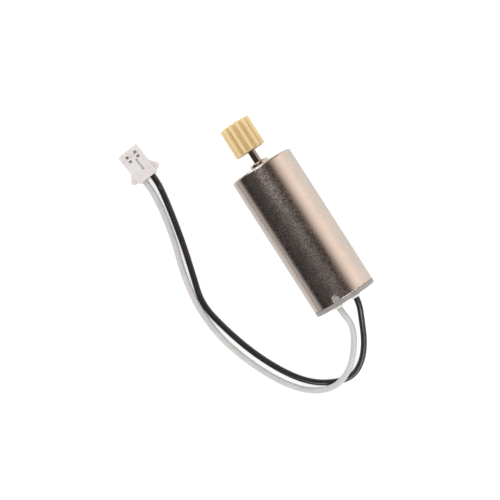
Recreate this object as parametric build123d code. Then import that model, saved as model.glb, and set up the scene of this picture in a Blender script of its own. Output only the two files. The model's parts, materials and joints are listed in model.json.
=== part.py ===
from build123d import *
from math import acos, cos, hypot, isclose, pi, radians, sin, tan
import os

# A coreless DC motor, 8.5 mm across and 20 mm long, with a plastic pinion on its shaft and two
# leads that end in a 2-pin plug. It lies on its side on a flat surface.
# Frame: +X along the shaft towards the pinion, +Z up. The origin is on the surface, under the
# middle of the motor's length, pinion included. Lengths are millimetres.

# Whole motor
CAN_DIA = 8.5
MOTOR_LENGTH = 20.0  # front face of the can to back face of the end cap
NOSE_LENGTH = 6.3  # front face of the can to the end of the pinion
CAN_R = CAN_DIA / 2
AXIS_Z = CAN_R
FRONT_X = (MOTOR_LENGTH + NOSE_LENGTH) / 2 - NOSE_LENGTH

# Can and end cap
CAN_WALL = 0.35
FRONT_WALL = 0.5
CAN_CORNER = 0.32
RIM_CORNER = 0.08
BOSS_R = 1.25
BOSS_HEIGHT = 0.6
BOSS_CORNER = 0.2
FLANGE = 0.55  # visible thickness of the end cap
FLANGE_CORNER = 0.12
SPIGOT_LENGTH = 2.15
SPIGOT_WALL = 0.6
DIMPLE_R = 0.7  # in the middle of the end cap's back face
DIMPLE_DEPTH = 0.15
KEY_WIDTH = 0.85
KEY_DEPTH = 0.7
KEY_CORNER = 0.35
KEY_RECESS = 0.06
NOTCH_BEVEL = 0.15
KEY_ANGLES = (-16.0, 164.0)  # degrees about +X from the top
RIM = MOTOR_LENGTH - FLANGE  # the can's open end, behind the front face

# Shaft, bearings and magnet
SHAFT_R = 0.5
SHAFT_BACK = 18.2
SHAFT_TIP = -6.1
SHAFT_CHAMFER = 0.1
BEARING_R = 1.0
BEARING_LENGTH = 1.6
BEARING_RECESS = 0.25  # below the end of the boss
RUNNING_GAP = 0.02
SLEEVE_R = 1.2
SLEEVE_BACK = 14.0
SLEEVE_FLANGE_R = 2.2
SLEEVE_FLANGE = 0.5
MAGNET_R = 2.7
MAGNET_BACK = 13.6

# Rotor
WINDING_R = 3.6
WINDING_INNER_R = 3.0
WINDING_FRONT = 1.4
WINDING_BACK = 15.15
HUB_DISC = 0.8
HUB_R = 0.8
HUB_BACK = 17.6
WASHER = 0.25
SEGMENTS = 5
SEGMENT_R = 1.0
SEGMENT_BACK = 17.3
SEGMENT_GAP = 0.12
RISER_R = 1.5
RISER_WIDTH = 0.5
RISER = 0.25
TAP_R = 3.2
TAP_WIDTH = 0.25
TAP = 0.2

# Pinion
TEETH = 12
MODULE = 0.3
PRESSURE_ANGLE = radians(20)
PINION_BACK = -2.3
ROOT_CORNER = 0.12
TIP_CORNER = 0.06
PINION_TURN = radians(96.9)  # direction of one tooth, from +Y towards +Z
PITCH_R = MODULE * TEETH / 2
TIP_R = PITCH_R + MODULE
ROOT_R = PITCH_R - 1.25 * MODULE
BASE_R = PITCH_R * cos(PRESSURE_ANGLE)

# Brushes and terminals, one set on each side of the shaft
BRUSH_Y = (1.05, 1.17)
BRUSH_U = (16.0, 16.9)
BRUSH_Z = (-1.3, 2.3)
BRUSH_LEG_Z = 1.9
TERMINAL_Y = (0.9, 1.9)
TERMINAL_Z = (-0.5, 2.6)
TERMINAL_U = (18.35, 18.55)
POST_Z = 1.6
SOLDER_R = 0.4
SOLDER_TOP_R = 0.25
SOLDER_HEIGHT = 0.35

# Leads
LEAD_DIA = 0.8
LEAD_Y = 1.3
LEAD_START = MOTOR_LENGTH - 0.8
LEAD_HOLE_R = 0.45
CORE_R = 0.2
CORE_END = 18.1
BEAD_R = 0.65
BEAD_LENGTH = 0.5
BEAD_CORNER = 0.22
ARC_SHARE = 0.45  # of the shorter run beside each bend
FLOOR_Z = LEAD_DIA / 2  # centre of a lead that lies on the surface
START_X = FRONT_X - LEAD_START
WHITE_ROUTE = [
    (START_X, LEAD_Y, AXIS_Z),
    (-14.2, LEAD_Y, AXIS_Z),
    (-16.6, 1.0, 3.3),
    (-19.2, 2.4, 2.0),
    (-21.3, 4.4, 1.35),
    (-22.2, 7.0, 1.35),
    (-21.3, 9.8, FLOOR_Z),
    (-18.6, 12.3, FLOOR_Z),
    (-14.3, 14.5, FLOOR_Z),
    (-9.2, 16.2, FLOOR_Z),
    (-4.2, 16.6, FLOOR_Z),
    (0.5, 15.9, FLOOR_Z),
    (4.9, 14.5, FLOOR_Z),
    (8.7, 13.75, FLOOR_Z),
    (10.8, 13.5, FLOOR_Z),
]
BLACK_ROUTE = [
    (START_X, -LEAD_Y, AXIS_Z),
    (-14.2, -LEAD_Y, AXIS_Z),
    (-16.8, -0.2, 3.3),
    (-19.2, 0.85, 1.9),
    (-21.25, 2.4, 0.8),
    (-22.3, 4.4, FLOOR_Z),
    (-21.8, 6.7, FLOOR_Z),
    (-20.1, 9.4, FLOOR_Z),
    (-17.2, 11.6, FLOOR_Z),
    (-12.8, 13.7, FLOOR_Z),
    (-8.1, 15.1, FLOOR_Z),
    (-3.9, 15.9, FLOOR_Z),
    (-0.2, 14.85, FLOOR_Z),
    (4.1, 13.7, FLOOR_Z),
    (8.2, 12.85, FLOOR_Z),
    (10.8, 12.4, FLOOR_Z),
]

# Plug, in its own frame: +X towards its nose, origin at the bottom middle of its back face
PLUG_PLACE = Location((13.48, 12.88, 0), (0, 0, 6))
PLUG_LENGTH = 4.45
PLUG_WIDTH = 3.0
PLUG_HEIGHT = 2.0
PITCH = 1.25
PLUG_CHAMFER = 0.25
NOSE_STEP_X = 3.4
NOSE_STEP = 0.3
BACK_CHAMFER = (0.35, 0.42)  # along and across the plug
EAR_OUTLINE = [  # beside the wall
    (0.35, 0),
    (0.42, 0.5),
    (0.6, 0.7),
    (0.85, 0.73),
    (1.08, 0.55),
    (1.35, 0.25),
    (1.9, 0),
]
EAR_Z = (0.5, 1.5)
CAVITY_X = 0.95
CAVITY_WIDTH = 0.75
CAVITY_Z = (0.6, 1.4)
BORE_R = 0.42
SLOT_X = (3.52, 3.86)
SLOT_WIDTH = 0.4
SLOT_SHIFT = -0.1
RECESS_X = (2.85, 3.2)  # blind mark of the latch behind each slot
RECESS_DEPTH = 0.45
GROOVE_X = (1.2, 2.85)
GROOVE_Y = (-0.4, -0.12)
GROOVE_DEPTH = 0.25
CONTACT_FRONT = 4.0
SOCKET_WIDTH = 0.4
SOCKET_BACK = 2.0
PLUG_LEAD_Z = sum(CAVITY_Z) / 2
LAST_BEND_X = -0.8  # where a lead lines up with its cavity


def at(distance):
    """X of a place given by its distance behind the can's front face."""
    return FRONT_X - distance


def ring(back, front, outer, inner=0.0, y=0.0):
    """Disc or tube along the shaft's direction, between two distances behind the front face."""
    face = Circle(outer) - Circle(inner) if inner else Circle(outer)
    plane = Plane(origin=(at(back), y, AXIS_Z), x_dir=(0, 1, 0), z_dir=(1, 0, 0))
    return extrude(plane * face, amount=back - front)


def block(x_range, y_range, z_range):
    """Box between three pairs of coordinates, each pair in either order."""
    ranges = (x_range, y_range, z_range)
    size = [abs(high - low) for low, high in ranges]
    middle = [(high + low) / 2 for low, high in ranges]
    return Pos(*middle) * Box(*size)


def turned(shape, angle):
    """The shape turned about the shaft's axis by an angle in degrees."""
    return shape.rotate(Axis((0, 0, AXIS_Z), (1, 0, 0)), angle)


def key_outline(radius):
    """Arched outline of a key, on the level plane at a radius above the shaft."""
    outline = Rectangle(KEY_DEPTH, KEY_WIDTH)
    outline = fillet(outline.vertices().group_by(Axis.X)[-1], KEY_CORNER)
    return Plane(origin=(at(RIM - KEY_DEPTH / 2), 0, AXIS_Z + radius)) * outline


def key_block(angle, inner_r):
    """Block across the can's wall at its open end, at an angle from the top."""
    upright = extrude(key_outline(inner_r), amount=CAN_R + CAN_WALL - inner_r)
    return turned(upright, angle)


def notch_bevel(angle):
    """Block that widens outwards, to bevel a notch's outer edges."""
    upright = extrude(key_outline(CAN_R - NOTCH_BEVEL), amount=3 * NOTCH_BEVEL, taper=-45)
    return turned(upright, angle)


def make_can():
    can = ring(RIM, 0, CAN_R)
    can = fillet(can.edges().group_by(Axis.X)[-1], CAN_CORNER)
    can = fillet(can.edges().group_by(Axis.X)[0], RIM_CORNER)
    boss = ring(0, -BOSS_HEIGHT, BOSS_R)
    can += fillet(boss.edges().group_by(Axis.X)[-1], BOSS_CORNER)
    can -= ring(RIM, FRONT_WALL, CAN_R - CAN_WALL)
    can -= ring(FRONT_WALL, -BOSS_HEIGHT, BEARING_R)
    for angle in KEY_ANGLES:
        can -= key_block(angle, CAN_R - 2 * CAN_WALL)
        can -= notch_bevel(angle)
    return can


def make_end_cap():
    cap = ring(MOTOR_LENGTH, RIM, CAN_R)
    cap = fillet(cap.edges().group_by(Axis.X)[0], FLANGE_CORNER)
    spigot_r = CAN_R - CAN_WALL
    cap += ring(RIM, RIM - SPIGOT_LENGTH, spigot_r, spigot_r - SPIGOT_WALL)
    for angle in KEY_ANGLES:
        cap += key_block(angle, spigot_r - SPIGOT_WALL / 2) & ring(RIM, 0, CAN_R - KEY_RECESS)
    for side in (1, -1):
        y_range = [side * y for y in TERMINAL_Y]
        z_range = (AXIS_Z + POST_Z, AXIS_Z + TERMINAL_Z[1])
        cap += block((at(RIM), at(TERMINAL_U[1])), y_range, z_range)
        cap -= ring(MOTOR_LENGTH, RIM, LEAD_HOLE_R, y=side * LEAD_Y)
    return cap - ring(MOTOR_LENGTH, MOTOR_LENGTH - DIMPLE_DEPTH, DIMPLE_R)


def make_magnet_sleeve():
    flange_back = FRONT_WALL + SLEEVE_FLANGE
    sleeve = ring(SLEEVE_BACK, FRONT_WALL, SLEEVE_R)
    sleeve += ring(flange_back, FRONT_WALL, SLEEVE_FLANGE_R)
    return sleeve - ring(SLEEVE_BACK, FRONT_WALL, BEARING_R)


def make_bearing(back):
    return ring(back, back - BEARING_LENGTH, BEARING_R, SHAFT_R + RUNNING_GAP)


def make_brush(side):
    """Leaf spring beside the commutator, with a leg that reaches back to its terminal."""
    y_range = [side * y for y in BRUSH_Y]
    z_low, z_high = (AXIS_Z + z for z in BRUSH_Z)
    leaf = block([at(u) for u in BRUSH_U], y_range, (z_low, z_high))
    leg = block((at(BRUSH_U[1]), at(TERMINAL_U[0])), y_range, (AXIS_Z + BRUSH_LEG_Z, z_high))
    return leaf + leg


def make_terminal(side):
    plate = block(
        [at(u) for u in TERMINAL_U],
        [side * y for y in TERMINAL_Y],
        [AXIS_Z + z for z in TERMINAL_Z],
    )
    return plate - ring(TERMINAL_U[1], TERMINAL_U[0], CORE_R, y=side * LEAD_Y)


def make_solder_joint(side):
    base = Plane(origin=(at(TERMINAL_U[0]), side * LEAD_Y, AXIS_Z), z_dir=(1, 0, 0))
    dome = base * Pos(0, 0, SOLDER_HEIGHT / 2) * Cone(SOLDER_R, SOLDER_TOP_R, SOLDER_HEIGHT)
    return dome - make_lead_core(side)


def make_lead_core(side):
    return ring(LEAD_START, CORE_END, CORE_R, y=side * LEAD_Y)


def make_glue_bead(side):
    back = MOTOR_LENGTH + BEAD_LENGTH
    bead = ring(back, MOTOR_LENGTH, BEAD_R, LEAD_DIA / 2, side * LEAD_Y)
    outer_edge = bead.edges().group_by(Axis.X)[0].sort_by(SortBy.RADIUS)[-1]
    return fillet(outer_edge, BEAD_CORNER)


def make_shaft():
    shaft = ring(SHAFT_BACK, SHAFT_TIP, SHAFT_R)
    return chamfer(shaft.edges().filter_by(GeomType.CIRCLE), SHAFT_CHAMFER)


def tooth_half_angle(radius):
    """Half of a tooth's angle at a radius, on an involute flank."""

    def involute(r):
        pressure = acos(BASE_R / r)
        return tan(pressure) - pressure

    return pi / (2 * TEETH) + involute(PITCH_R) - involute(radius)


def polar(radius, angle):
    return (radius * cos(angle), radius * sin(angle))


def make_pinion():
    """Straight-toothed pinion, with an arc through three points of each involute flank."""
    flank_radii = (BASE_R, PITCH_R, TIP_R)
    half_angles = [tooth_half_angle(radius) for radius in flank_radii]
    base_half, tip_half = half_angles[0], half_angles[-1]
    step = 2 * pi / TEETH
    edges = []
    for tooth in range(TEETH):
        middle = PINION_TURN + tooth * step
        rise = [polar(r, middle - half) for r, half in zip(flank_radii, half_angles)]
        fall = [polar(r, middle + half) for r, half in zip(flank_radii, half_angles)]
        next_root = polar(ROOT_R, middle + step - base_half)
        edges.append(Line(polar(ROOT_R, middle - base_half), rise[0]))
        edges.append(ThreePointArc(*rise))
        edges.append(ThreePointArc(rise[-1], polar(TIP_R, middle), fall[-1]))
        edges.append(ThreePointArc(*reversed(fall)))
        edges.append(Line(fall[0], polar(ROOT_R, middle + base_half)))
        gap = polar(ROOT_R, middle + step / 2)
        edges.append(ThreePointArc(polar(ROOT_R, middle + base_half), gap, next_root))
    outline = make_face(edges)
    for radius, corner in ((ROOT_R, ROOT_CORNER), (TIP_R, TIP_CORNER)):
        corners = [v for v in outline.vertices() if isclose(hypot(v.X, v.Y), radius, abs_tol=1e-4)]
        outline = fillet(corners, corner)
    outline -= Circle(SHAFT_R)
    plane = Plane(origin=(at(PINION_BACK), 0, AXIS_Z), x_dir=(0, 1, 0), z_dir=(1, 0, 0))
    return extrude(plane * outline, amount=NOSE_LENGTH + PINION_BACK)


def make_rotor_hub():
    hub = ring(WINDING_BACK, WINDING_BACK - HUB_DISC, WINDING_INNER_R)
    hub += ring(HUB_BACK, WINDING_BACK, HUB_R)
    return hub - ring(HUB_BACK, WINDING_BACK - HUB_DISC, SHAFT_R)


def radial_bar(inner, outer, width, thickness, index):
    """Bar that lies on the hub's disc and points outwards at one commutator segment."""
    x_range = (at(WINDING_BACK), at(WINDING_BACK + thickness))
    bar = block(x_range, (-width / 2, width / 2), (AXIS_Z + inner, AXIS_Z + outer))
    return turned(bar, index * 360 / SEGMENTS)


def make_commutator_segment(index):
    """One copper strip of the commutator, with the riser that its tap is soldered to."""
    strip = ring(SEGMENT_BACK, WINDING_BACK, SEGMENT_R, HUB_R)
    x_range = (at(SEGMENT_BACK), at(WINDING_BACK))
    reach = 2 * SEGMENT_R
    for side in (1, -1):
        y_range = (-side * reach, side * SEGMENT_GAP / 2)
        beyond = block(x_range, y_range, (AXIS_Z - reach, AXIS_Z + reach))
        strip -= turned(beyond, side * 180 / SEGMENTS)
    strip = turned(strip, index * 360 / SEGMENTS)
    inside = (HUB_R + SEGMENT_R) / 2
    return strip + radial_bar(inside, RISER_R, RISER_WIDTH, RISER, index)


def make_winding_taps():
    bars = [radial_bar(RISER_R, TAP_R, TAP_WIDTH, TAP, index) for index in range(SEGMENTS)]
    return Compound(children=[bar.solid() for bar in bars])


def plug_point(x, y, z):
    """A point of the plug's own frame, in the motor's frame."""
    return tuple((PLUG_PLACE * Pos(x, y, z)).position)


def make_plug_housing():
    half = PLUG_WIDTH / 2
    housing = block((0, PLUG_LENGTH), (-half, half), (0, PLUG_HEIGHT))
    long_top = housing.edges().filter_by(Axis.X).group_by(Axis.Z)[-1]
    housing = chamfer(long_top, PLUG_CHAMFER)
    step_z = PLUG_HEIGHT - NOSE_STEP
    housing -= block((NOSE_STEP_X, PLUG_LENGTH), (-half, half), (step_z, PLUG_HEIGHT))
    housing -= block(GROOVE_X, GROOVE_Y, (PLUG_HEIGHT - GROOVE_DEPTH, PLUG_HEIGHT))
    for side in (1, -1):
        middle = side * PITCH / 2
        cavity = (middle - CAVITY_WIDTH / 2, middle + CAVITY_WIDTH / 2)
        slot_middle = middle + SLOT_SHIFT
        slot = (slot_middle - SLOT_WIDTH / 2, slot_middle + SLOT_WIDTH / 2)
        housing -= block((CAVITY_X, PLUG_LENGTH), cavity, CAVITY_Z)
        housing -= block(SLOT_X, slot, (PLUG_LEAD_Z, PLUG_HEIGHT))
        housing -= block(RECESS_X, slot, (PLUG_HEIGHT - RECESS_DEPTH, PLUG_HEIGHT))
        bore = Plane(origin=(0, middle, PLUG_LEAD_Z), z_dir=(1, 0, 0)) * Circle(BORE_R)
        housing -= extrude(bore, amount=CAVITY_X)
        outline = [(x, side * (half + out)) for x, out in EAR_OUTLINE]
        ear = make_face(Polyline(*outline, close=True))
        housing += extrude(Pos(0, 0, EAR_Z[0]) * ear, amount=EAR_Z[1] - EAR_Z[0], dir=(0, 0, 1))
        along, across = BACK_CHAMFER
        corner = [(0, side * half), (along, side * half), (0, side * (half - across))]
        wedge = make_face(Polyline(*corner, close=True))
        housing -= extrude(wedge, amount=PLUG_HEIGHT, dir=(0, 0, 1))
    return PLUG_PLACE * housing


def make_plug_contact(side):
    """Crimped box contact that fills its cavity behind the socket's mouth."""
    middle = side * PITCH / 2
    cavity = (middle - CAVITY_WIDTH / 2, middle + CAVITY_WIDTH / 2)
    socket_y = (middle - SOCKET_WIDTH / 2, middle + SOCKET_WIDTH / 2)
    socket_z = (PLUG_LEAD_Z - SOCKET_WIDTH / 2, PLUG_LEAD_Z + SOCKET_WIDTH / 2)
    contact = block((CAVITY_X, CONTACT_FRONT), cavity, CAVITY_Z)
    return PLUG_PLACE * (contact - block((SOCKET_BACK, CONTACT_FRONT), socket_y, socket_z))


def bend_radii(points):
    """Radius of the arc at each corner of a route, as large as its two runs allow."""
    radii = []
    for before, corner, after in zip(points, points[1:], points[2:]):
        run_in = Vector(*corner) - Vector(*before)
        run_out = Vector(*after) - Vector(*corner)
        turn = radians(run_in.get_angle(run_out))
        radii.append(ARC_SHARE * min(run_in.length, run_out.length) / tan(turn / 2))
    return radii


def make_lead(name, route, side):
    """Plain round lead along a route that ends inside the plug, against its contact."""
    middle = side * PITCH / 2
    ends = [plug_point(x, middle, PLUG_LEAD_Z) for x in (LAST_BEND_X, CAVITY_X)]
    points = route + ends
    radii = bend_radii(points)
    path = FilletPolyline(*points, radius=radii)
    tube = sweep(Plane(origin=path @ 0, z_dir=path % 0) * Circle(LEAD_DIA / 2), path=path)
    expected = pi * LEAD_DIA**2 / 4 * path.length
    print(name, "length", round(path.length, 2), "volume", round(tube.volume, 3))
    print(name, "section x length", round(expected, 3), "radii", [round(r, 1) for r in radii])
    print(name, "last points", [[round(c, 2) for c in point] for point in ends])
    return tube


def build_nodes():
    """Every node's shape, by name. Number 1 is the white lead's side and 2 the black lead's."""
    nodes = {
        "can": make_can(),
        "end_cap": make_end_cap(),
        "magnet_sleeve": make_magnet_sleeve(),
        "magnet": ring(MAGNET_BACK, FRONT_WALL + SLEEVE_FLANGE, MAGNET_R, SLEEVE_R),
        "front_bearing": make_bearing(BEARING_LENGTH + BEARING_RECESS - BOSS_HEIGHT),
        "rear_bearing": make_bearing(SLEEVE_BACK),
        "shaft": make_shaft(),
        "pinion": make_pinion(),
        "winding": ring(WINDING_BACK, WINDING_FRONT, WINDING_R, WINDING_INNER_R),
        "rotor_hub": make_rotor_hub(),
        "thrust_washer": ring(
            WINDING_BACK - HUB_DISC, WINDING_BACK - HUB_DISC - WASHER, BEARING_R, SHAFT_R
        ),
        "winding_taps": make_winding_taps(),
        "plug_housing": make_plug_housing(),
        "white_lead": make_lead("white_lead", WHITE_ROUTE, 1),
        "black_lead": make_lead("black_lead", BLACK_ROUTE, -1),
    }
    for index in range(SEGMENTS):
        nodes[f"commutator_segment_{index + 1}"] = make_commutator_segment(index)
    for number, side in ((1, 1), (2, -1)):
        nodes[f"brush_{number}"] = make_brush(side)
        nodes[f"terminal_{number}"] = make_terminal(side)
        nodes[f"solder_joint_{number}"] = make_solder_joint(side)
        nodes[f"lead_core_{number}"] = make_lead_core(side)
        nodes[f"glue_bead_{number}"] = make_glue_bead(side)
        nodes[f"plug_contact_{number}"] = make_plug_contact(side)
    return nodes


os.makedirs("parts", exist_ok=True)
for node_name, shape in build_nodes().items():
    export_step(shape, f"parts/{node_name}.step")
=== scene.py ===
import json
from math import cos, pi, radians, sin

import bpy
from mathutils import Matrix, Vector


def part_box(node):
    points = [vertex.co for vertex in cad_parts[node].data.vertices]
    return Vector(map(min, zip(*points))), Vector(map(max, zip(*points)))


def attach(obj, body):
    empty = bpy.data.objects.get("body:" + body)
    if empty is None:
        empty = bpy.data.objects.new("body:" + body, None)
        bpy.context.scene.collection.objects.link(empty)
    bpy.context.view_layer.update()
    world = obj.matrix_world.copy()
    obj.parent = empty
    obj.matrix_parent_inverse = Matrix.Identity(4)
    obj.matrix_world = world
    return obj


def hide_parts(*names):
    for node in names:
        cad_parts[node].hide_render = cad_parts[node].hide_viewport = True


# A coreless DC motor on its side, with a plastic pinion, two leads and a 2-pin plug.
# Everything is in metres, in the CAD model's frame: +X along the shaft towards the pinion, +Z up.

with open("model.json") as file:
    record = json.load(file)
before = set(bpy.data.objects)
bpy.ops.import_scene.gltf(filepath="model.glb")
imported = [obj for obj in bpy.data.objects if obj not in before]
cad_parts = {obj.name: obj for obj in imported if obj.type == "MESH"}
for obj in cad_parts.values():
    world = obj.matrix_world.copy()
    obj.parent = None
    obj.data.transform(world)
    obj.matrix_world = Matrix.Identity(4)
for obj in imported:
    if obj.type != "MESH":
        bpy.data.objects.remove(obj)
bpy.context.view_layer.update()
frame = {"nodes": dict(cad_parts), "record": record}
nodes = frame["nodes"]

MM = 0.001
AXIS_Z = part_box("can")[1].z / 2

# Leads: control points of each smooth curve, in millimetres
LEAD_DIA = 0.8
WHITE_ROUTE = [
    (-12.35, 1.3, 4.25),
    (-14.2, 1.3, 4.25),
    (-16.6, 1.0, 3.3),
    (-19.2, 2.4, 2.0),
    (-21.3, 4.4, 1.35),
    (-22.2, 7.0, 1.35),
    (-21.3, 9.8, 0.4),
    (-18.6, 12.3, 0.4),
    (-14.3, 14.5, 0.4),
    (-9.2, 16.2, 0.4),
    (-4.2, 16.6, 0.4),
    (0.5, 15.9, 0.4),
    (4.9, 14.5, 0.4),
    (8.7, 13.75, 0.4),
    (10.8, 13.5, 0.4),
    (12.62, 13.42, 1.0),
    (14.36, 13.6, 1.0),
]
BLACK_ROUTE = [
    (-12.35, -1.3, 4.25),
    (-14.2, -1.3, 4.25),
    (-16.8, -0.2, 3.3),
    (-19.2, 0.85, 1.9),
    (-21.25, 2.4, 0.8),
    (-22.3, 4.4, 0.4),
    (-21.8, 6.7, 0.4),
    (-20.1, 9.4, 0.4),
    (-17.2, 11.6, 0.4),
    (-12.8, 13.7, 0.4),
    (-8.1, 15.1, 0.4),
    (-3.9, 15.9, 0.4),
    (-0.2, 14.85, 0.4),
    (4.1, 13.7, 0.4),
    (8.2, 12.85, 0.4),
    (10.8, 12.4, 0.4),
    (12.75, 12.17, 1.0),
    (14.49, 12.36, 1.0),
]


# ---------------------------------------------------------------- shader nodes


def add_node(tree, kind, inputs=None, **properties):
    """Adds a shader node. Each input is a value, or a socket to link from."""
    made = tree.nodes.new(kind)
    for key, value in properties.items():
        setattr(made, key, value)
    for key, value in (inputs or {}).items():
        if isinstance(value, bpy.types.NodeSocket):
            tree.links.new(value, made.inputs[key])
        else:
            made.inputs[key].default_value = value
    return made


def object_point(tree):
    """Position in the row frame, in metres: every piece's object sits at the origin."""
    return add_node(tree, "ShaderNodeTexCoord").outputs["Object"]


def noise(tree, size, detail=3.0, roughness=0.5, stretch=(1, 1, 1)):
    """Noise from 0 to 1 whose features are about size millimetres across."""
    point = add_node(tree, "ShaderNodeMapping", {"Vector": object_point(tree), "Scale": stretch})
    inputs = {
        "Vector": point.outputs["Vector"],
        "Scale": 1 / (size * MM),
        "Detail": detail,
        "Roughness": roughness,
    }
    return add_node(tree, "ShaderNodeTexNoise", inputs).outputs["Fac"]


def remap(tree, value, low, high, to_low=0.0, to_high=1.0, smooth=False):
    kind = "SMOOTHSTEP" if smooth else "LINEAR"
    inputs = {
        "Value": value,
        "From Min": low,
        "From Max": high,
        "To Min": to_low,
        "To Max": to_high,
    }
    return add_node(tree, "ShaderNodeMapRange", inputs, interpolation_type=kind).outputs["Result"]


def calculate(tree, operation, first, second=0.0):
    return add_node(tree, "ShaderNodeMath", {0: first, 1: second}, operation=operation).outputs[0]


def blend_colours(tree, share, first, second):
    inputs = {"Factor": share, "A": first, "B": second}
    return add_node(tree, "ShaderNodeMix", inputs, data_type="RGBA").outputs[2]


def set_ramp(ramp, stops):
    """Fills a colour ramp with (position, colour) stops, in order."""
    elements = ramp.color_ramp.elements
    while len(elements) < len(stops):
        elements.new(1.0)
    for element, (position, colour) in zip(elements, stops):
        element.position = position
        element.color = (*colour, 1)


def bump(tree, height, depth, strength=1.0, edge=0.04):
    """Bump whose full height is depth millimetres, over edges rounded by edge millimetres."""
    rounded = add_node(tree, "ShaderNodeBevel", {"Radius": edge * MM}, samples=6)
    inputs = {
        "Height": height,
        "Distance": depth * MM,
        "Strength": strength,
        "Normal": rounded.outputs["Normal"],
    }
    return add_node(tree, "ShaderNodeBump", inputs).outputs["Normal"]


def new_material(name, values):
    """Material with a principled shader, and fixed values on the shader's own sockets."""
    material = bpy.data.materials.new(name)
    material.use_nodes = True
    shader = material.node_tree.nodes["Principled BSDF"]
    for key, value in values.items():
        shader.inputs[key].default_value = value
    return material, material.node_tree, shader


def connect(tree, shader, **sockets):
    """Links sockets to the shader's inputs, given as words joined by underscores."""
    for key, socket in sockets.items():
        tree.links.new(socket, shader.inputs[key.replace("_", " ")])


# ---------------------------------------------------------------- materials


def nickel_can():
    """Polished nickel plating: a soft uneven haze, faint drawing lines and smudges."""
    material, tree, shader = new_material("nickel_can", {"Metallic": 1.0})
    grains = remap(tree, noise(tree, 0.22, 3.0, 0.6), 0.35, 0.65)
    clumps = remap(tree, noise(tree, 1.6, 3.0), 0.35, 0.65, 0.7, 1.0)
    most_haze = 0.135
    haze = calculate(tree, "MULTIPLY", calculate(tree, "MULTIPLY", grains, clumps), most_haze)
    smudges = remap(tree, noise(tree, 4.0, 4.0), 0.35, 0.7, 0.152, 0.178)
    roughness = calculate(tree, "ADD", haze, smudges)
    warm = remap(tree, noise(tree, 2.5, 3.0), 0.35, 0.65)
    tint = blend_colours(tree, warm, (0.70, 0.64, 0.60, 1), (0.74, 0.68, 0.64, 1))
    fleck = remap(tree, grains, 0.0, 1.0, 0.94, 1.04)
    flecked = add_node(tree, "ShaderNodeVectorMath", {0: tint, "Scale": fleck}, operation="SCALE")
    lines = noise(tree, 0.12, 2.0, 0.5, (0.02, 1, 1))
    normal = bump(tree, lines, 0.0006, 0.5)
    connect(tree, shader, Base_Color=flecked.outputs[0], Roughness=roughness, Normal=normal)
    return material


def moulded_plastic(name, light, dark, roughness, subsurface=0.0, grain=0.25, values=None):
    """Moulded plastic: cloudy colour, fine satin grain and slightly uneven gloss."""
    fixed = {"Subsurface Weight": subsurface, "Subsurface Scale": 0.6 * MM}
    fixed.update(values or {})
    material, tree, shader = new_material(name, fixed)
    cloud = remap(tree, noise(tree, 1.6, 4.0), 0.3, 0.7)
    colour = blend_colours(tree, cloud, (*dark, 1), (*light, 1))
    gloss = remap(tree, noise(tree, 0.5, 3.0), 0.3, 0.7, roughness - 0.05, roughness + 0.07)
    normal = bump(tree, noise(tree, grain * 0.4, 4.0, 0.6), 0.006 * grain / 0.25, 0.6)
    connect(tree, shader, Base_Color=colour, Roughness=gloss, Normal=normal)
    return material


def worked_metal(name, light, dark, roughness, grain_size, stretch):
    """Bare metal with marks from grinding, rolling or drawing along one direction."""
    material, tree, shader = new_material(name, {"Metallic": 1.0})
    marks = noise(tree, grain_size, 4.0, 0.6, stretch)
    cloud = noise(tree, 0.8, 3.0)
    colour = blend_colours(tree, cloud, (*dark, 1), (*light, 1))
    gloss = remap(tree, marks, 0.3, 0.7, roughness - 0.06, roughness + 0.1)
    connect(tree, shader, Base_Color=colour, Roughness=gloss, Normal=bump(tree, marks, 0.003, 0.5))
    return material


def enamelled_wire():
    """Side-by-side turns of fine enamelled wire, wound at a slant and bonded with resin. The
    colour darkens into the gaps between turns as painted shade.
    """
    slant_per_metre = 160.0
    turns_around = 60.0
    fixed = {"Metallic": 0.85, "Roughness": 0.3, "Coat Weight": 0.5, "Coat Roughness": 0.2}
    material, tree, shader = new_material("enamelled_wire", fixed)
    split = add_node(tree, "ShaderNodeSeparateXYZ", {"Vector": object_point(tree)})
    height = calculate(tree, "SUBTRACT", split.outputs["Z"], AXIS_Z)
    angle = calculate(tree, "ARCTAN2", height, split.outputs["Y"])
    slant = calculate(tree, "MULTIPLY", split.outputs["X"], slant_per_metre)
    turns = calculate(tree, "MULTIPLY", calculate(tree, "ADD", angle, slant), turns_around)
    crowns_over_shaded_gaps = calculate(tree, "ABSOLUTE", calculate(tree, "SINE", turns))
    # Painted shade: copper on the crowns of the turns, near black in the gaps between them.
    colour = blend_colours(tree, crowns_over_shaded_gaps, (0.12, 0.035, 0.012, 1), (0.62, 0.24, 0.09, 1))
    connect(tree, shader, Base_Color=colour, Normal=bump(tree, crowns_over_shaded_gaps, 0.03, 0.8))
    return material


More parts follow.
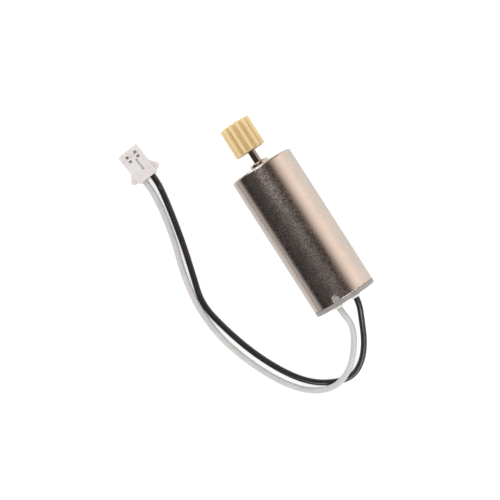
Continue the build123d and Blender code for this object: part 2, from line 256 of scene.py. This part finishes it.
def make_materials():
    """One material for each slot of the record."""
    return {
        "can_steel": nickel_can(),
        "cap_plastic": moulded_plastic(
            "cap_plastic", (0.325, 0.30, 0.29), (0.255, 0.235, 0.228), 0.36, 0.15
        ),
        "pinion_plastic": moulded_plastic(
            "pinion_plastic",
            (0.72, 0.545, 0.285),
            (0.67, 0.505, 0.26),
            0.55,
            subsurface=0.2,
            values={
                "Subsurface Radius": (1.0, 0.85, 0.6),
                "Subsurface Scale": 5.0 * MM,
                "Specular IOR Level": 0.3,
            },
        ),
        "shaft_steel": worked_metal(
            "shaft_steel", (0.38, 0.33, 0.31), (0.31, 0.275, 0.26), 0.12, 0.06, (1, 0.05, 0.05)
        ),
        "bronze": worked_metal(
            "bronze", (0.42, 0.27, 0.14), (0.26, 0.16, 0.08), 0.45, 0.08, (1, 1, 1)
        ),
        "brass": worked_metal(
            "brass", (0.78, 0.56, 0.24), (0.66, 0.45, 0.18), 0.28, 0.08, (0.1, 1, 1)
        ),
        "magnet_nickel": worked_metal(
            "magnet_nickel", (0.55, 0.54, 0.52), (0.44, 0.43, 0.41), 0.35, 0.15, (1, 1, 1)
        ),
        "copper_winding": enamelled_wire(),
        "commutator_metal": worked_metal(
            "commutator_metal", (0.86, 0.62, 0.3), (0.7, 0.46, 0.2), 0.22, 0.05, (1, 0.1, 0.1)
        ),
        "hub_plastic": moulded_plastic(
            "hub_plastic", (0.03, 0.028, 0.027), (0.015, 0.014, 0.014), 0.5
        ),
        "washer_plastic": moulded_plastic(
            "washer_plastic", (0.8, 0.78, 0.72), (0.72, 0.7, 0.64), 0.4, 0.2
        ),
        "solder": worked_metal(
            "solder", (0.66, 0.66, 0.66), (0.5, 0.5, 0.5), 0.25, 0.2, (1, 1, 1)
        ),
        "glue": moulded_plastic(
            "glue", (0.84, 0.81, 0.76), (0.74, 0.71, 0.66), 0.25, 0.5, values={"IOR": 1.5}
        ),
        "white_insulation": moulded_plastic(
            "white_insulation", (0.55, 0.55, 0.545), (0.49, 0.49, 0.485), 0.36, 0.3
        ),
        "black_insulation": moulded_plastic(
            "black_insulation",
            (0.015, 0.015, 0.016),
            (0.009, 0.009, 0.01),
            0.26,
            values={"Specular IOR Level": 0.8},
        ),
        "plug_plastic": moulded_plastic(
            "plug_plastic", (0.69, 0.655, 0.642), (0.605, 0.57, 0.56), 0.4, 0.3
        ),
        "contact_metal": worked_metal(
            "contact_metal", (0.5, 0.47, 0.41), (0.38, 0.35, 0.3), 0.14, 0.08, (1, 1, 1)
        ),
    }


def paint_cad_nodes(materials):
    """Gives every node of the frame the material of its slot in the record."""
    for part in frame["record"]["subparts"]:
        mesh = nodes[part["node"]].data
        mesh.materials.clear()
        mesh.materials.append(materials[part["material_slot"]])


# ---------------------------------------------------------------- leads


def make_lead(name, route, material, replaced):
    """Round lead as a smooth curve through the route's control points."""
    curve = bpy.data.curves.new(name, "CURVE")
    curve.dimensions = "3D"
    curve.bevel_depth = LEAD_DIA / 2 * MM
    curve.bevel_resolution = 8
    curve.resolution_u = 16
    curve.use_fill_caps = True
    spline = curve.splines.new("NURBS")
    spline.points.add(len(route) - 1)
    for point, (x, y, z) in zip(spline.points, route):
        point.co = (x * MM, y * MM, z * MM, 1)
    spline.order_u = 3
    spline.use_endpoint_u = True
    curve.materials.append(material)
    lead = bpy.data.objects.new(name, curve)
    bpy.context.scene.collection.objects.link(lead)
    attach(lead, "stator")
    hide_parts(replaced)
    return lead


# ---------------------------------------------------------------- stage, light and camera


def make_floor():
    """White floor that glows a little, so that it stays pale under the object.

    Reflections see it fade to dark on the +Y side. The colours that they see are given by the
    distance from the shaft's axis, in mm.
    """
    size = 3.0
    glow = 0.5
    mesh = bpy.data.meshes.new("floor")
    corners = [(-size, -size, 0), (size, -size, 0), (size, size, 0), (-size, size, 0)]
    mesh.from_pydata(corners, [], [(0, 1, 2, 3)])
    floor = bpy.data.objects.new("floor", mesh)
    bpy.context.scene.collection.objects.link(floor)
    fixed = {"Roughness": 0.9, "Specular IOR Level": 0.0, "Base Color": (0.72, 0.72, 0.72, 1)}
    material, tree, shader = new_material("floor", fixed)
    shader.inputs["Emission Color"].default_value = (1, 1, 1, 1)
    shader.inputs["Emission Strength"].default_value = glow
    split = add_node(tree, "ShaderNodeSeparateXYZ", {"Vector": object_point(tree)})
    ramp = add_node(tree, "ShaderNodeValToRGB")
    reach = 80.0
    place = remap(tree, split.outputs["Y"], -reach * MM, reach * MM)
    tree.links.new(place, ramp.inputs["Fac"])
    seen_at = [
        (-75, (1.04, 0.91, 0.81)),
        (-15, (0.94, 0.88, 0.81)),
        (-9, (0.86, 0.81, 0.76)),
        (-6, (0.80, 0.77, 0.74)),
        (-3, (0.84, 0.82, 0.80)),
        (6.3, (0.86, 0.84, 0.82)),
        (8.8, (0.75, 0.71, 0.68)),
        (11.5, (0.74, 0.70, 0.66)),
        (15.4, (0.69, 0.635, 0.60)),
        (21.7, (0.56, 0.51, 0.48)),
        (34.4, (0.42, 0.375, 0.35)),
        (52, (0.33, 0.295, 0.275)),
        (58, (0.03, 0.025, 0.022)),
    ]
    stops = [(0.5 + y / (2 * reach), colour) for y, colour in seen_at]
    set_ramp(ramp, stops)
    seen = add_node(tree, "ShaderNodeEmission", {"Color": ramp.outputs["Color"]})
    glossy = add_node(tree, "ShaderNodeLightPath").outputs["Is Glossy Ray"]
    output = tree.nodes["Material Output"]
    mix = add_node(
        tree,
        "ShaderNodeMixShader",
        {0: glossy, 1: shader.outputs["BSDF"], 2: seen.outputs["Emission"]},
    )
    tree.links.new(mix.outputs["Shader"], output.inputs["Surface"])
    mesh.materials.append(material)


def make_world():
    """Even white light. Reflections see a dark side over +Y and a bright side over -Y.

    Towards both ends of the motor they see a dark band, and beyond it pale ends. The colours of
    the two sides are given by the angle from the zenith, in degrees towards -Y. The band and the
    ends are given by how far a direction leans along the shaft, from 0 to 1.
    """
    band_edge = (0.3, 0.5)
    ends_edge = (0.75, 0.9)
    brightness = 1.25
    world = bpy.data.worlds.new("studio")
    bpy.context.scene.world = world
    world.use_nodes = True
    tree = world.node_tree
    direction = add_node(tree, "ShaderNodeTexCoord").outputs["Generated"]
    split = add_node(tree, "ShaderNodeSeparateXYZ", {"Vector": direction})
    aside = calculate(tree, "MULTIPLY", split.outputs["Y"], -1.0)
    angle = calculate(tree, "ARCTAN2", aside, split.outputs["Z"])
    ramp = add_node(tree, "ShaderNodeValToRGB")
    tree.links.new(remap(tree, angle, -pi, pi), ramp.inputs["Fac"])
    seen_at = [
        (-180, (0.02, 0.015, 0.013)),
        (-80, (0.02, 0.015, 0.013)),
        (-71, (0.04, 0.032, 0.03)),
        (-50, (0.04, 0.032, 0.031)),
        (-28, (0.065, 0.054, 0.053)),
        (-12, (0.10, 0.085, 0.083)),
        (3, (0.065, 0.053, 0.050)),
        (15, (0.03, 0.014, 0.009)),
        (22, (0.03, 0.014, 0.009)),
        (27, (0.09, 0.066, 0.052)),
        (31, (0.22, 0.17, 0.145)),
        (35, (0.375, 0.30, 0.26)),
        (43, (0.66, 0.54, 0.464)),
        (51, (0.90, 0.746, 0.64)),
        (56, (1.0, 0.84, 0.74)),
        (65, (1.137, 0.98, 0.87)),
        (71, (1.16, 1.01, 0.905)),
        (77, (1.137, 0.99, 0.895)),
        (90, (1.06, 0.92, 0.83)),
    ]
    stops = [(0.5 + degrees / 360, colour) for degrees, colour in seen_at]
    set_ramp(ramp, stops)
    lengthwise = calculate(tree, "ABSOLUTE", split.outputs["X"])
    band = remap(tree, lengthwise, *band_edge, smooth=True)
    sides = blend_colours(tree, band, ramp.outputs["Color"], (0.07, 0.05, 0.04, 1))
    ends = remap(tree, lengthwise, *ends_edge, smooth=True)
    both = blend_colours(tree, ends, sides, (0.85, 0.79, 0.72, 1))
    seen = add_node(tree, "ShaderNodeBackground", {"Color": both})
    even = tree.nodes["Background"]
    even.inputs["Color"].default_value = (1, 1, 1, 1)
    even.inputs["Strength"].default_value = brightness
    glossy = add_node(tree, "ShaderNodeLightPath").outputs["Is Glossy Ray"]
    mix = add_node(
        tree,
        "ShaderNodeMixShader",
        {0: glossy, 1: even.outputs["Background"], 2: seen.outputs["Background"]},
    )
    tree.links.new(mix.outputs["Shader"], tree.nodes["World Output"].inputs["Surface"])


def make_light(name, along, over, size, energy, colour=(1, 1, 1)):
    """Soft light that only reflections see, 0.3 m away.

    Its direction is given in degrees from the zenith, along towards +X and over towards -Y. Its
    size is given in metres, along the shaft and across it.
    """
    along, over, distance = radians(along), radians(over), 0.3
    back = Vector((sin(along), -cos(along) * sin(over), cos(along) * cos(over)))
    light = bpy.data.lights.new(name, "AREA")
    light.shape = "RECTANGLE"
    light.size, light.size_y = size
    light.energy = energy
    light.color = colour
    lamp = bpy.data.objects.new(name, light)
    lamp.visible_diffuse = False
    bpy.context.scene.collection.objects.link(lamp)
    across = Vector((0, cos(over), sin(over)))
    place_facing(lamp, back * distance, back, across)


def place_facing(item, location, back, up):
    """Puts a lamp or camera at a place, looking against back, with up as its own Y."""
    right = up.cross(back).normalized()
    up = back.cross(right)
    turn = Matrix((right, up, back)).transposed().to_4x4()
    item.matrix_world = Matrix.Translation(location) @ turn


def make_camera():
    """Looks almost straight down, with the shaft's direction up and to the left."""
    target = Vector((-1.38, 6.87, 4.25)) * MM
    distance = 170 * MM
    tilt, roll = radians(0.3), radians(32.59)
    back = Vector((-sin(tilt), 0, cos(tilt)))
    shaft = Vector((cos(tilt), 0, sin(tilt)))
    side = back.cross(shaft)
    up = cos(roll) * shaft - sin(roll) * side
    data = bpy.data.cameras.new("camera")
    data.lens = 96.7
    data.sensor_width = 36
    data.clip_start = 0.01
    camera = bpy.data.objects.new("camera", data)
    bpy.context.scene.collection.objects.link(camera)
    place_facing(camera, target + distance * back, back, up)
    bpy.context.scene.camera = camera


# ---------------------------------------------------------------- the whole scene

materials = make_materials()
paint_cad_nodes(materials)
make_lead(
    "white_wire",
    WHITE_ROUTE,
    materials["white_insulation"],
    "white_lead",
)
make_lead(
    "black_wire",
    BLACK_ROUTE,
    materials["black_insulation"],
    "black_lead",
)
make_floor()
make_world()
make_light("haze_light", 16, -14, (0.05, 0.14), 0.053, (1, 0.91, 0.88))
make_light("edge_light", 55, -30, (0.03, 0.28), 0.25)
make_light("rear_light", -42, -8, (0.15, 0.24), 0.42)
make_camera()
bpy.context.scene.view_settings.view_transform = "Standard"
